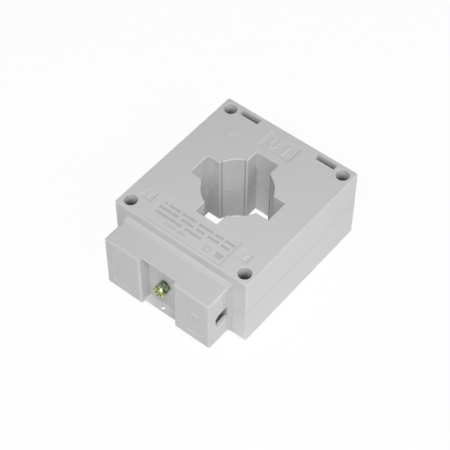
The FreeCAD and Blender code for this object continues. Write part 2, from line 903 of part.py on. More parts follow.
def core_cap(label, upper):
    """Half of the insulating case round the core, open towards the other half."""
    piece = Piece(label)
    middle = (wrap_low + wrap_high) * HALF
    wall = size.cap_thickness
    inner, outer = wrap_in + wire_step, wrap_out - wire_step
    if upper:
        start, end = middle + size.cap_gap * HALF, wrap_high - wire_step
        floor = end - wall
    else:
        start, end = middle - size.cap_gap * HALF, wrap_low + wire_step
        floor = end + wall
    piece.turn(piece.plan("XZ_Plane").outline([
        (inner, start), (inner + wall, start), (inner + wall, floor), (outer - wall, floor),
        (outer - wall, start), (outer, start), (outer, end), (inner, end),
    ]))
    return piece


def coil_section(plan, outer_step, inner_step):
    """Section of a layer round the core: a frame between two distances from the wrap's face."""
    for step in (outer_step, inner_step):
        plan.rectangle(wrap_in + step, wrap_out - step, wrap_low + step, wrap_high - step)
    return plan


def secondary_winding():
    """One layer of wire round the capped core, with a gap between its two ends."""
    piece = Piece("secondary_winding")
    inner = wire_step - size.layer_clearance
    sweep = 360 - size.winding_gap_angle
    base = coil_section(piece.plan("XZ_Plane"), wrap_step + size.turn_depth, inner)
    piece.turn(base, Angle=sweep)
    turn = coil_section(piece.plan("XZ_Plane"), wrap_step, inner)
    first = piece.pad(turn, size.wire_diameter, SideType="Symmetric")
    axis = next(f for f in piece.body.Origin.OriginFeatures if f.Role == "Z_Axis")
    piece.feature(
        "PolarPattern", Originals=[first], Axis=(axis, [""]), Angle=sweep,
        Occurrences=size.turn_count,
    )
    about_z = FreeCAD.Rotation(FreeCAD.Vector(0, 0, 1), 90)
    piece.body.Placement = FreeCAD.Placement(FreeCAD.Vector(0, 0, 0), about_z)
    piece.body.setExpression(
        "Placement.Rotation.Angle", (size.winding_gap_angle * HALF - 90).text
    )
    return piece


def winding_wrap():
    """Insulating wrap round the winding, with a hole for each lead."""
    piece = Piece("winding_wrap")
    piece.turn(coil_section(piece.plan("XZ_Plane"), ZERO, size.wrap_thickness))
    inner = wrap_out - wrap_step
    widest = terminal_offset + size.wire_diameter
    holes = piece.plan("XZ_Plane", wrap_out)
    for side in (-1, 1):
        holes.circle(
            size.wire_diameter * HALF + size.lead_hole_clearance,
            side * terminal_offset, terminal_level + size.lead_rise,
        )
    piece.pocket(holes, wrap_out - root(inner * inner - widest * widest))
    return piece


def foam_ring(label, height):
    """Ring between the coil and one face of the case."""
    piece = Piece(label)
    margin = size.foam_margin
    piece.turn(piece.plan("XZ_Plane").rectangle(
        wrap_in + margin, wrap_out - margin, height, height + size.foam_thickness
    ))
    return piece


def lead_tube(label, side, start, end, section):
    """Tube from the winding out to a terminal tail: along, round one bend and down."""
    piece = Piece(label).shift("x", side * terminal_offset)
    bend = size.lead_bend_radius
    along = terminal_level + size.lead_rise
    down = ledge_face - size.tail_length + size.wire_diameter * HALF
    path = piece.plan("YZ_Plane").outline(
        [(-start, along), (bend - down, along, bend), (-down, along - bend), (-down, end)],
        closed=False,
    )
    profile = piece.plan("XZ_Plane", start)
    for radius in section:
        profile.circle(radius, ZERO, along)
    piece.pipe(profile, path)
    return piece


def lead(label, side):
    """Bare end of the winding, from the winding to the terminal tail."""
    winding = wrap_out - wrap_step
    inner_edge = terminal_offset - size.wire_diameter * HALF
    start = root(winding * winding - inner_edge * inner_edge) + size.layer_clearance
    return lead_tube(label, side, start, tail_top, [size.wire_diameter * HALF])


def sleeve(label, side):
    """Insulating sleeve on a lead, from the wrap to just short of the tail."""
    bore = size.wire_diameter * HALF + size.sleeve_clearance
    outer = bore + size.sleeve_wall
    inner_edge = terminal_offset - outer
    start = root(wrap_out * wrap_out - inner_edge * inner_edge) + size.layer_clearance
    return lead_tube(label, side, start, tail_top + size.sleeve_end_gap, [outer, bore])


def terminal_plate(label, side):
    """Stamped plate with a drawn collar for the screw and a tail bent back to the lead."""
    piece = Piece(label).stand(side * terminal_offset, ledge_face, terminal_level)
    back = -size.plate_recess
    piece.pad(
        piece.plan("XY_Plane", back).centred(size.plate_width, size.plate_height),
        size.plate_thickness,
    )
    piece.soften("Chamfer", upright, size.plate_corner)
    piece.pad(
        piece.plan("XY_Plane", back).circle(size.collar_radius), size.collar_length, Reversed=True
    )
    low = -size.plate_height * HALF
    tail = piece.plan("XY_Plane", back).rectangle(
        -size.tail_width * HALF, size.tail_width * HALF, low, low + size.plate_thickness
    )
    piece.pad(tail, size.tail_length - size.plate_recess, Reversed=True)
    piece.pierce(piece.plan("XY_Plane").circle(bore_radius))
    return piece


def clamp_plate(label, side):
    """Square plate that presses a wire on the terminal plate."""
    piece = Piece(label).stand(side * terminal_offset, plate_front, terminal_level)
    piece.pad(
        piece.plan("XY_Plane").centred(size.clamp_size, size.clamp_size), size.clamp_thickness
    )
    piece.soften("Chamfer", upright, size.clamp_corner)
    piece.pierce(piece.plan("XY_Plane").circle(hole_radius))
    return piece


def spring_washer(label, side):
    """Split washer under the head of a terminal screw."""
    piece = Piece(label).stand(side * terminal_offset, clamp_front, terminal_level)
    ring = piece.plan("XY_Plane").circle(size.spring_radius).circle(hole_radius)
    piece.pad(ring, size.spring_thickness)
    split = piece.plan("XY_Plane", size.spring_thickness).rectangle(
        ZERO, size.spring_radius * 2, -size.spring_gap * HALF, size.spring_gap * HALF
    )
    piece.pocket(split, size.spring_thickness)
    return piece


def drive_recess(piece, head_radius, head_height):
    """Slot across a screw head, with a shorter one across it."""
    width = size.drive_slot_width
    for across, along in ((head_radius * 3, width), (width, head_radius)):
        slot = piece.plan("XY_Plane", head_height).centred(across, along)
        piece.pocket(slot, size.drive_slot_depth)


def terminal_screw(label, side):
    """Pan-head screw of a terminal."""
    piece = Piece(label).stand(side * terminal_offset, spring_front, terminal_level)
    tip = -size.terminal_shank_length
    shank, chamfer = size.shank_radius, size.tip_chamfer
    radius, height = size.terminal_head_radius, size.terminal_head_height
    piece.turn(piece.plan("XZ_Plane").outline([
        (ZERO, tip), (shank - chamfer, tip), (shank, tip + chamfer), (shank, ZERO),
        (radius, ZERO), (radius, height), (ZERO, height),
    ]))
    piece.soften("Fillet", lambda edge: level_at(edge, height.value), size.pan_radius)
    drive_recess(piece, radius, height)
    return piece


def cover_screw():
    """Tall cheese-head screw of the cover, with a cross hole for a seal wire."""
    piece = Piece("cover_screw").stand(ZERO, recess_face, terminal_level)
    tip = -size.cover_shank_length
    shank, chamfer, edge = size.shank_radius, size.tip_chamfer, size.head_edge
    radius, height = size.cover_head_radius, size.cover_head_height
    groove_top = -size.recess_web
    groove_low = groove_top - size.ring_thickness - 2 * size.seat_clearance
    piece.turn(piece.plan("XZ_Plane").outline([
        (ZERO, tip), (shank - chamfer, tip), (shank, tip + chamfer), (shank, groove_low),
        (size.ring_groove_radius, groove_low), (size.ring_groove_radius, groove_top),
        (shank, groove_top), (shank, ZERO), (radius, ZERO), (radius, height - edge),
        (radius - edge, height), (ZERO, height),
    ]))
    drive_recess(piece, radius, height)
    piece.pierce(
        piece.plan("YZ_Plane").circle(size.seal_bore_radius, ZERO, size.seal_bore_height)
    )
    return piece


def cover_screw_ring():
    """Ring in the screw's groove, which keeps the screw in the cover."""
    piece = Piece("cover_screw_ring")
    piece.stand(ZERO, web_back - size.seat_clearance - size.ring_thickness, terminal_level)
    section = piece.plan("XY_Plane").circle(size.ring_radius)
    section.circle(size.ring_groove_radius + size.seat_clearance)
    piece.pad(section, size.ring_thickness)
    return piece


def cover_insert():
    """Threaded insert for the cover screw, with a groove round its middle."""
    piece = Piece("cover_insert").stand(ZERO, boss_front, terminal_level)
    outer, inner = size.insert_radius, bore_radius
    length, middle = size.insert_length, size.insert_length * HALF
    waist = outer - size.insert_groove_depth
    step = size.insert_groove_width * HALF
    piece.turn(piece.plan("XZ_Plane").outline([
        (inner, -length), (outer, -length), (outer, -middle - step), (waist, -middle - step),
        (waist, step - middle), (outer, step - middle), (outer, ZERO), (inner, ZERO),
    ]))
    return piece


def check(document):
    """Stop if any object of the document failed."""
    for item in document.Objects:
        if {"Invalid", "Error"} & set(item.State):
            raise RuntimeError("%s is in state %s" % (item.Label, item.State))


def export(pieces, folder):
    """Write one STEP file for each piece."""
    os.makedirs(folder, exist_ok=True)
    for piece in pieces:
        shape = piece.body.Shape
        if shape.isNull() or not shape.isValid() or len(shape.Solids) != 1:
            raise RuntimeError("%s is not one valid solid" % piece.body.Label)
        shape.exportStep("%s/%s.step" % (folder, piece.body.Label))


half_shell("front_shell", True)
half_shell("rear_shell", False)
terminal_base()
terminal_cover()
strip_core()
core_cap("core_cap_front", True)
core_cap("core_cap_rear", False)
secondary_winding()
winding_wrap()
foam_ring("foam_ring_front", wrap_high)
foam_ring("foam_ring_rear", cavity_bottom)
cover_insert()
cover_screw()
cover_screw_ring()
for end, side in (("left", -1), ("right", 1)):
    lead("lead_" + end, side)
    sleeve("sleeve_" + end, side)
    terminal_plate("terminal_plate_" + end, side)
    clamp_plate("clamp_plate_" + end, side)
    spring_washer("spring_washer_" + end, side)
    terminal_screw("terminal_screw_" + end, side)

doc.recompute()
check(doc)
export(Piece.made, "parts")
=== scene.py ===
"""Window current transformer: finishes, marks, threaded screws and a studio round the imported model."""
import logging
import math
from dataclasses import dataclass, field
from enum import Enum

import bmesh
import bpy
from mathutils import Matrix, Vector


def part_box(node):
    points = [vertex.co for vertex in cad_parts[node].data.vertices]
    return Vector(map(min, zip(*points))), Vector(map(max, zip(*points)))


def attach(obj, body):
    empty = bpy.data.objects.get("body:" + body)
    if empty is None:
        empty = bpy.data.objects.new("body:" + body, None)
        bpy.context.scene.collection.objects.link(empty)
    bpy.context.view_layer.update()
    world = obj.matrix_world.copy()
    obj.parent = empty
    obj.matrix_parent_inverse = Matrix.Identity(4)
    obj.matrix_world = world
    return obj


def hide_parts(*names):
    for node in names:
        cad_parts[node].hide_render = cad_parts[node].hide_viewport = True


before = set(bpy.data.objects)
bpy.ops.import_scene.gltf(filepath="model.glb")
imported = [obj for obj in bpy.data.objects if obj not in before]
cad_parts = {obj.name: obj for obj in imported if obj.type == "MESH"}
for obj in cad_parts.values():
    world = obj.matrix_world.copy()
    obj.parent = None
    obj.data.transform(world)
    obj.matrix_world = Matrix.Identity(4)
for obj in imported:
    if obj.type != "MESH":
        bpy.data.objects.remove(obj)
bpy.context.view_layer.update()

LOG = logging.getLogger("current_transformer")
MM = 0.001

Rgb = tuple[float, float, float]
Spot = tuple[float, float, float]
Pair = tuple[float, float]
Stops = list[tuple[float, Rgb]]


class Body(Enum):
    """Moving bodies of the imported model."""

    HOUSING = "housing"
    COVER = "cover"
    COVER_SCREW = "cover_screw"
    SCREW_LEFT = "terminal_screw_left"
    SCREW_RIGHT = "terminal_screw_right"


class Slot(Enum):
    """Material slots of the record."""

    CASE = "case_plastic"
    COVER = "cover_plastic"
    BRASS = "brass"
    YELLOW_ZINC = "yellow_zinc"


class Signal:
    """A socket that can be used in Python expressions: each operator adds one Math node."""

    def __init__(self, graph: "Graph", socket: bpy.types.NodeSocket) -> None:
        """Keep the graph and the output socket."""
        self.graph = graph
        self.socket = socket

    def math(self, operation: str, *values: "Signal | float") -> "Signal":
        """Add one Math node on signals or numbers, and give its result."""
        return self.graph.add("ShaderNodeMath", {"operation": operation}, dict(enumerate(values)))

    def __add__(self, other: "Signal | float") -> "Signal":
        """Sum."""
        return self.math("ADD", self, other)

    def __radd__(self, other: float) -> "Signal":
        """Sum, number first."""
        return self.math("ADD", other, self)

    def __sub__(self, other: "Signal | float") -> "Signal":
        """Difference."""
        return self.math("SUBTRACT", self, other)

    def __rsub__(self, other: float) -> "Signal":
        """Difference, number first."""
        return self.math("SUBTRACT", other, self)

    def __mul__(self, other: "Signal | float") -> "Signal":
        """Product."""
        return self.math("MULTIPLY", self, other)

    def __rmul__(self, other: float) -> "Signal":
        """Product, number first."""
        return self.math("MULTIPLY", other, self)

    def __truediv__(self, other: "Signal | float") -> "Signal":
        """Quotient."""
        return self.math("DIVIDE", self, other)

    def __rtruediv__(self, other: float) -> "Signal":
        """Quotient, number first."""
        return self.math("DIVIDE", other, self)

    def sine(self) -> "Signal":
        """Sine of the signal."""
        return self.math("SINE", self)

    def fraction(self) -> "Signal":
        """Part after the decimal point."""
        return self.math("FRACT", self)

    def absolute(self) -> "Signal":
        """Size without its sign."""
        return self.math("ABSOLUTE", self)

    def root(self) -> "Signal":
        """Square root."""
        return self.math("SQRT", self)

    def over(self, other: "Signal") -> "Signal":
        """Angle whose tangent is this signal over another."""
        return self.math("ARCTAN2", self, other)

    def above(self, limit: float) -> "Signal":
        """One where the signal is over a limit, else nought."""
        return self.math("GREATER_THAN", self, limit)

    def larger(self, other: "Signal | float") -> "Signal":
        """The larger of the signal and another."""
        return self.math("MAXIMUM", self, other)

    def clamped(self) -> "Signal":
        """The signal, kept between nought and one."""
        return self.math("MINIMUM", self.larger(0.0), 1.0)


class Graph:
    """Node tree of one material, or of the world; places, sizes and depths in millimetres."""

    def __init__(
        self, owner: bpy.types.Material | bpy.types.World, output: str = "ShaderNodeOutputMaterial"
    ) -> None:
        """Empty the owner's tree and give it its output.

        Args:
            owner: The material or the world.
            output: Type of its output node.
        """
        owner.use_nodes = True
        self.tree = owner.node_tree
        self.tree.nodes.clear()
        self.surface = self.tree.nodes.new(output).inputs["Surface"]

    def add(
        self,
        kind: str,
        settings: dict[str, object] | None = None,
        values: dict[int | str, object] | None = None,
        output: int | str = 0,
    ) -> Signal:
        """Add a node.

        Args:
            kind: The node's type.
            settings: Its settings; "stops" are a colour ramp's places and colours.
            values: Numbers, colours or signals for its sockets.
            output: Which output to give back.

        Returns:
            The chosen output.
        """
        node = self.tree.nodes.new(kind)
        for name, setting in (settings or {}).items():
            if name == "stops":
                self.fill_ramp(node.color_ramp, setting)
            else:
                setattr(node, name, setting)
        for key, value in (values or {}).items():
            self.feed(node.inputs[key], value)
        return Signal(self, node.outputs[output])

    def feed(self, socket: bpy.types.NodeSocket, value: object) -> None:
        """Link a signal to a socket, or set its value.

        Args:
            socket: The input.
            value: A signal, a number, a text or a colour.
        """
        if isinstance(value, Signal):
            self.tree.links.new(value.socket, socket)
        elif socket.type == "RGBA":
            socket.default_value = (*value, 1.0)
        else:
            socket.default_value = value

    @staticmethod
    def fill_ramp(ramp: bpy.types.ColorRamp, stops: Stops) -> None:
        """Give a colour ramp its stops.

        Args:
            ramp: The ramp.
            stops: Places and colours, in order.
        """
        while len(ramp.elements) > 1:
            ramp.elements.remove(ramp.elements[-1])
        ramp.elements[0].position = stops[0][0]
        ramp.elements[0].color = (*stops[0][1], 1.0)
        for place, colour in stops[1:]:
            ramp.elements.new(place).color = (*colour, 1.0)

    def millimetres(self) -> Signal:
        """Object coordinates in millimetres."""
        values = {"Vector": self.add("ShaderNodeTexCoord", output="Object"), "Scale": 1 / MM}
        return self.add("ShaderNodeVectorMath", {"operation": "SCALE"}, values)

    def axes(self, place: Signal) -> tuple[Signal, Signal, Signal]:
        """The three coordinates of a place."""
        split = self.add("ShaderNodeSeparateXYZ", values={0: place}).socket.node
        return tuple(Signal(self, split.outputs[i]) for i in range(3))

    def noise(self, place: Signal, size: float, detail: float = 3.0) -> Signal:
        """Soft noise from nought to one, with features of one size and so many finer layers."""
        values = {"Vector": place, "Scale": 1 / size, "Detail": detail}
        return self.add("ShaderNodeTexNoise", values=values)

    def cells(self, place: Signal, size: float) -> Signal:
        """Distance to the nearest cell's centre, in a pattern of cells of one size."""
        return self.add("ShaderNodeTexVoronoi", values={"Vector": place, "Scale": 1 / size})

    def mix(self, share: Signal | float, first: Signal | Rgb, second: Signal | Rgb) -> Signal:
        """Mix two colours."""
        values = {0: share, 6: first, 7: second}
        return self.add("ShaderNodeMix", {"data_type": "RGBA"}, values, 2)

    def ramp(self, signal: Signal, stops: Stops) -> Signal:
        """Colour from a ramp."""
        return self.add("ShaderNodeValToRGB", {"stops": stops}, {0: signal})

    def bump(self, height: Signal, depth: float) -> Signal:
        """Normal bent by a height from nought to one, where one is as deep as the depth given."""
        values = {"Strength": 1.0, "Distance": depth * MM, "Height": height}
        return self.add("ShaderNodeBump", values=values)

    def shade(self, **values: Signal | Rgb | float) -> None:
        """Show the surface shader, its sockets named with underscores for their spaces."""
        named = {key.replace("_", " "): value for key, value in values.items()}
        self.show(self.add("ShaderNodeBsdfPrincipled", values=named))

    def show(self, shader: Signal) -> None:
        """Link a shader to the output."""
        self.feed(self.surface, shader)


@dataclass(frozen=True)
class Finish:
    """What a surface is made of; sizes and depths in millimetres."""

    name: str
    colour: Rgb

    def paint(self, graph: Graph) -> None:
        """Build the finish's nodes."""
        raise NotImplementedError

    def material(self) -> bpy.types.Material:
        """The finish's material, made once.

        Returns:
            The material.
        """
        made = bpy.data.materials.get(self.name)
        if made is None:
            made = bpy.data.materials.new(self.name)
            self.paint(Graph(made))
            made.diffuse_color = (*self.colour, 1.0)
        return made

    def scaled(self, factor: float) -> Rgb:
        """The colour times a factor."""
        return tuple(part * factor for part in self.colour)

    def shades(self, graph: Graph, share: Signal, spread: float) -> Signal:
        """The colour, a little darker or lighter by a share."""
        return graph.mix(share, self.scaled(1 - spread), self.scaled(1 + spread))


@dataclass(frozen=True)
class MouldedPlastic(Finish):
    """Moulded plastic with a fine eroded grain and broad flow shades."""

    roughness: float = 0.52
    specular: float = 0.45
    grain: float = 0.22
    grain_detail: float = 2.0
    grain_depth: float = 0.012
    grain_gloss: float = 0.06
    speck: float = 1.1
    flow: float = 26.0
    flow_share: float = 0.7
    flow_gloss: float = 0.04
    spread: float = 0.018

    def paint(self, graph: Graph) -> None:
        """Grain in the bump and the gloss, and broad flow shades in the colour.

        Args:
            graph: The material's graph.
        """
        place = graph.millimetres()
        grain = graph.noise(place, self.grain, self.grain_detail)
        flow = graph.noise(place, self.flow)
        speck = graph.noise(place, self.speck)
        blend = flow * self.flow_share + speck * (1 - self.flow_share)
        tone = self.shades(graph, blend, self.spread)
        graph.shade(
            Base_Color=self.shadowed(graph, place, tone),
            Roughness=self.roughness + grain * self.grain_gloss + flow * self.flow_gloss,
            Specular_IOR_Level=self.specular,
            Normal=graph.bump(grain, self.grain_depth),
        )

    def shadowed(self, graph: Graph, place: Signal, tone: Signal) -> Signal:
        """The colour as it is, with no painted shade, since this moulding has no seam and no deep
        openings.
        """
        return tone


@dataclass(frozen=True)
class CasePlastic(MouldedPlastic):
    """Plastic of the two-part case, with painted shade at the seam and deep in the corner holes and foot
    slots.
    """

    seam: float = 21.0
    seam_reach: float = 0.22
    seam_shade: float = 0.76
    hole_spot: Pair = (33.0, 36.15)
    hole_reach: float = 3.35
    hole_fade: Pair = (2.0, 6.6)
    foot_spot: Pair = (22.4, 37.75)
    foot_half: Pair = (5.4, 1.5)
    foot_reach: float = 0.1
    foot_fade: Pair = (0.9, 4.6)
    deep_shade: float = 0.22

    def shadowed(self, graph: Graph, place: Signal, tone: Signal) -> Signal:
        """The colour, with painted shade beside the seam and in the depth of the openings.

        Args:
            graph: The material's graph.
            place: Where it is read, in millimetres.
            tone: The colour of the plastic.

        Returns:
            The colour with the painted shade in it.
        """
        x, y, z = graph.axes(place)
        # Painted shade: a thin darker band along the seam, outside and inside the window.
        from_seam = (z - self.seam).absolute()
        away = from_seam.above(self.seam_reach)
        tone = graph.mix(away, self.scaled(self.seam_shade), tone)
        # Painted shade deep in the four corner holes.
        across = x.absolute() - self.hole_spot[0]
        along = y.absolute() - self.hole_spot[1]
        in_hole = 1 - (across * across + along * along).root().above(self.hole_reach)
        tone = self.painted_depth_shade(graph, tone, in_hole, from_seam, self.hole_fade)
        # Painted shade deep in the foot slots.
        across = (x.absolute() - self.foot_spot[0]).absolute() - self.foot_half[0]
        along = (y - self.foot_spot[1]).absolute() - self.foot_half[1]
        in_foot = 1 - across.larger(along).above(self.foot_reach)
        return self.painted_depth_shade(graph, tone, in_foot, from_seam, self.foot_fade)

    def painted_depth_shade(
        self, graph: Graph, tone: Signal, inside: Signal, from_seam: Signal, fade: Pair
    ) -> Signal:
        """The colour, with painted shade that grows with the depth inside an opening that goes through
        the case.

        Args:
            graph: The material's graph.
            tone: The colour so far.
            inside: One inside the opening, else nought.
            from_seam: Distance from the seam's plane, in millimetres.
            fade: Depths between which the painted shade comes in, in millimetres.

        Returns:
            The colour with the painted shade in it.
        """
        first, last = fade
        depth = ((self.seam - first) - from_seam) * (1 / (last - first))
        return graph.mix(depth.clamped() * inside, tone, self.scaled(self.deep_shade))


@dataclass(frozen=True)
class PrintInk(Finish):
    """Thin ink on grained plastic."""

    roughness: float = 0.55
    specular: float = 0.4
    grain: float = 0.22
    grain_detail: float = 2.0
    grain_depth: float = 0.01
    grain_gloss: float = 0.08
    blot: float = 0.9
    spread: float = 0.07

    def paint(self, graph: Graph) -> None:
        """Ink that lets the grain under it show.

        Args:
            graph: The material's graph.
        """
        place = graph.millimetres()
        grain = graph.noise(place, self.grain, self.grain_detail)
        blots = graph.noise(place, self.blot)
        graph.shade(
            Base_Color=self.shades(graph, blots, self.spread),
            Roughness=self.roughness + grain * self.grain_gloss,
            Specular_IOR_Level=self.specular,
            Normal=graph.bump(grain, self.grain_depth),
        )


@dataclass(frozen=True)
class YellowZinc(Finish):
    """Zinc plate under a chromate film: gold on the slotted end, green-grey down the side; the darkest
    greens and the pale patches are partly the film's own colour and partly painted reflection and
    highlight.
    """

    dark_green: Rgb = (0.045, 0.060, 0.030)
    green: Rgb = (0.15, 0.21, 0.06)
    straw: Rgb = (0.92, 0.86, 0.50)
    dark_steel: Rgb = (0.05, 0.07, 0.05)
    steel: Rgb = (0.25, 0.35, 0.25)
    pale_steel: Rgb = (0.44, 0.56, 0.42)
    painted_glint: Rgb = (0.85, 0.95, 0.52)
    gold_stops: tuple[float, ...] = (0.36, 0.45, 0.53, 0.61, 0.70)
    grey_stops: tuple[float, ...] = (0.34, 0.43, 0.52, 0.60, 0.68)
    film: float = 1.0
    film_detail: float = 2.0
    slotted_end: float = -57.0
    gold_depth: float = 0.6
    gold_wander: float = 1.2
    gold_edge: float = 1.4
    roughness: float = 0.22
    mark: float = 0.12
    mark_detail: float = 1.0
    mark_gloss: float = 0.16
    film_relief: float = 0.7
    depth: float = 0.12

    def paint(self, graph: Graph) -> None:
        """Film colours in patches, partly painted reflection and highlight, with fine turning marks.

        Args:
            graph: The material's graph.
        """
        place = graph.millimetres()
        _, along, _ = graph.axes(place)
        film = graph.noise(place, self.film, self.film_detail)
        marks = graph.noise(place, self.mark, self.mark_detail)
        # The dark stops stand partly for painted reflection, the palest stops partly for painted
        # highlight.
        golds = (self.dark_green, self.green, self.colour, self.straw, self.green)
        greys = (self.dark_steel, self.steel, self.pale_steel, self.painted_glint, self.steel)
        end_tone = graph.ramp(film, list(zip(self.gold_stops, golds)))
        side_tone = graph.ramp(film, list(zip(self.grey_stops, greys)))
        start = film * self.gold_wander - self.slotted_end - self.gold_depth
        share = ((along + start) * (1 / self.gold_edge)).clamped()
        relief = film * self.film_relief + marks * (1 - self.film_relief)
        graph.shade(
            Base_Color=graph.mix(share, end_tone, side_tone),
            Metallic=1.0,
            Roughness=self.roughness + marks * self.mark_gloss,
            Normal=graph.bump(relief, self.depth),
        )


@dataclass(frozen=True)
class TurnedMetal(Finish):
    """Bare or plated metal with fine tool marks and a little tarnish."""

    roughness: float = 0.28
    tarnish: Rgb = (0.30, 0.24, 0.14)
    tarnish_share: float = 0.25
    mark: float = 0.15
    mark_detail: float = 2.0
    mark_depth: float = 0.012
    mark_gloss: float = 0.14
    patch: float = 2.6
    patch_gloss: float = 0.08

    def paint(self, graph: Graph) -> None:
        """Tool marks in the gloss and bump, and tarnish in patches.

        Args:
            graph: The material's graph.
        """
        place = graph.millimetres()
        marks = graph.noise(place, self.mark, self.mark_detail)
        patches = graph.noise(place, self.patch)
        graph.shade(
            Base_Color=graph.mix(patches * self.tarnish_share, self.colour, self.tarnish),
            Metallic=1.0,
            Roughness=self.roughness + marks * self.mark_gloss + patches * self.patch_gloss,
            Normal=graph.bump(marks, self.mark_depth),
        )


@dataclass(frozen=True)
class EnamelledWire(Finish):
    """Copper wire under a clear brown enamel."""

    metal: float = 0.85
    roughness: float = 0.24
    patch: float = 3.0
    spread: float = 0.22
    draw: float = 0.3
    draw_detail: float = 1.0
    draw_depth: float = 0.01
    draw_gloss: float = 0.12
    enamel: float = 0.6
    enamel_roughness: float = 0.12

    def paint(self, graph: Graph) -> None:
        """Enamel shades along the wire under a smooth coat.

        Args:
            graph: The material's graph.
        """
        place = graph.millimetres()
        patches = graph.noise(place, self.patch)
        draws = graph.noise(place, self.draw, self.draw_detail)
        graph.shade(
            Base_Color=self.shades(graph, patches, self.spread),
            Metallic=self.metal,
            Roughness=self.roughness + draws * self.draw_gloss,
            Coat_Weight=self.enamel,
            Coat_Roughness=self.enamel_roughness,
            Normal=graph.bump(draws, self.draw_depth),
        )


@dataclass(frozen=True)
class WoundStrip(Finish):
    """Steel strip wound into a ring: thin layers on its two faces."""

    metal: float = 0.9
    roughness: float = 0.34
    layer: float = 0.3
    edge_share: float = 0.6
    edge_gloss: float = 0.2
    edge_depth: float = 0.03
    patch: float = 4.0
    spread: float = 0.35

    def paint(self, graph: Graph) -> None:
        """Layers counted outwards from the ring's axis.

        Args:
            graph: The material's graph.
        """
        place = graph.millimetres()
        x, y, _ = graph.axes(place)
        layers = ((x * x + y * y).root() / self.layer).fraction()
        edge = (layers - 0.5).absolute() * 2
        patches = graph.noise(place, self.patch)
        blend = edge * self.edge_share + patches * (1 - self.edge_share)
        graph.shade(
            Base_Color=self.shades(graph, blend, self.spread),
            Metallic=self.metal,
            Roughness=self.roughness + edge * self.edge_gloss,
            Normal=graph.bump(1 - edge, self.edge_depth),
        )


@dataclass(frozen=True)
class TapeWrap(Finish):
    """Clear amber tape, wrapped round the coil in overlapping turns."""

    turns: int = 46
    slant: float = 0.02
    lap_start: float = 0.45
    lap_share: float = 0.8
    lap_relief: float = 0.6
    wave: float = 2.2
    wave_gloss: float = 0.12
    spread: float = 0.16
    roughness: float = 0.22
    coat: float = 0.4
    coat_roughness: float = 0.1
    depth: float = 0.05

    def paint(self, graph: Graph) -> None:
        """Overlaps counted by the angle round the coil.

        Args:
            graph: The material's graph.
        """
        place = graph.millimetres()
        x, y, z = graph.axes(place)
        turn = (y.over(x) * (self.turns / math.tau) + z * self.slant).fraction()
        lap = turn.above(self.lap_start)
        waves = graph.noise(place, self.wave)
        blend = lap * self.lap_share + waves * (1 - self.lap_share)
        relief = lap * self.lap_relief + waves * (1 - self.lap_relief)
        graph.shade(
            Base_Color=self.shades(graph, blend, self.spread),
            Roughness=self.roughness + waves * self.wave_gloss,
            Coat_Weight=self.coat,
            Coat_Roughness=self.coat_roughness,
            Normal=graph.bump(relief, self.depth),
        )


@dataclass(frozen=True)
class ClosedFoam(Finish):
    """Closed-cell foam."""

    cell: float = 0.5
    cell_gloss: float = 0.1
    cell_depth: float = 0.15
    roughness: float = 0.85
    spread: float = 0.3

    def paint(self, graph: Graph) -> None:
        """Small round cells.

        Args:
            graph: The material's graph.
        """
        cells = graph.cells(graph.millimetres(), self.cell)
        graph.shade(
            Base_Color=self.shades(graph, cells, self.spread),
            Roughness=self.roughness + cells * self.cell_gloss,
            Normal=graph.bump(cells, self.cell_depth),
        )


@dataclass(frozen=True)
class BraidedSleeve(Finish):
    """Braided and varnished sleeving."""

    pitch: float = 0.35
    braid_gloss: float = 0.2
    braid_depth: float = 0.06
    roughness: float = 0.5
    spread: float = 0.14

    def paint(self, graph: Graph) -> None:
        """Two crossing sets of strands.

        Args:
            graph: The material's graph.
        """
        x, y, z = graph.axes(graph.millimetres())
        wave = math.tau / self.pitch
        strands = ((x + y + z) * wave).sine() * ((x - y - z) * wave).sine()
        braid = strands * 0.5 + 0.5
        graph.shade(
            Base_Color=self.shades(graph, braid, self.spread),
            Roughness=self.roughness + braid * self.braid_gloss,
            Normal=graph.bump(braid, self.braid_depth),
        )


# The case plastic carries painted shade along its seam and deep in its corner holes and foot slots.
CASE_GREY = CasePlastic("case_grey", (0.660, 0.662, 0.662))
BASE_GREY = MouldedPlastic("base_grey", (0.606, 0.609, 0.611))
COVER_GREY = MouldedPlastic("cover_grey", (0.620, 0.621, 0.620), roughness=0.50)
NYLON = MouldedPlastic("natural_nylon", (0.78, 0.75, 0.66), roughness=0.38)
# Faint ink for the real print, also used for the painted shade in the panel creases.
FAINT_INK_AND_SHADE = PrintInk("faint_ink_and_shade", (0.530, 0.538, 0.553))
LINE_INK = PrintInk("line_ink", (0.435, 0.444, 0.465))
SCREW_ZINC = YellowZinc("yellow_zinc_film", (0.46, 0.44, 0.13))
BRASS = TurnedMetal("brass_turned", (0.66, 0.46, 0.18))
ZINC = TurnedMetal(
    "zinc_plate", (0.62, 0.63, 0.64), roughness=0.30, tarnish=(0.42, 0.42, 0.40), tarnish_share=0.35
)
COPPER = EnamelledWire("enamelled_copper", (0.46, 0.15, 0.05))
CORE_STEEL = WoundStrip("wound_strip", (0.36, 0.36, 0.37))
TAPE = TapeWrap("amber_tape", (0.72, 0.52, 0.14))
FOAM = ClosedFoam("dark_foam", (0.055, 0.055, 0.060))
SLEEVING = BraidedSleeve("varnished_sleeve", (0.66, 0.64, 0.54))

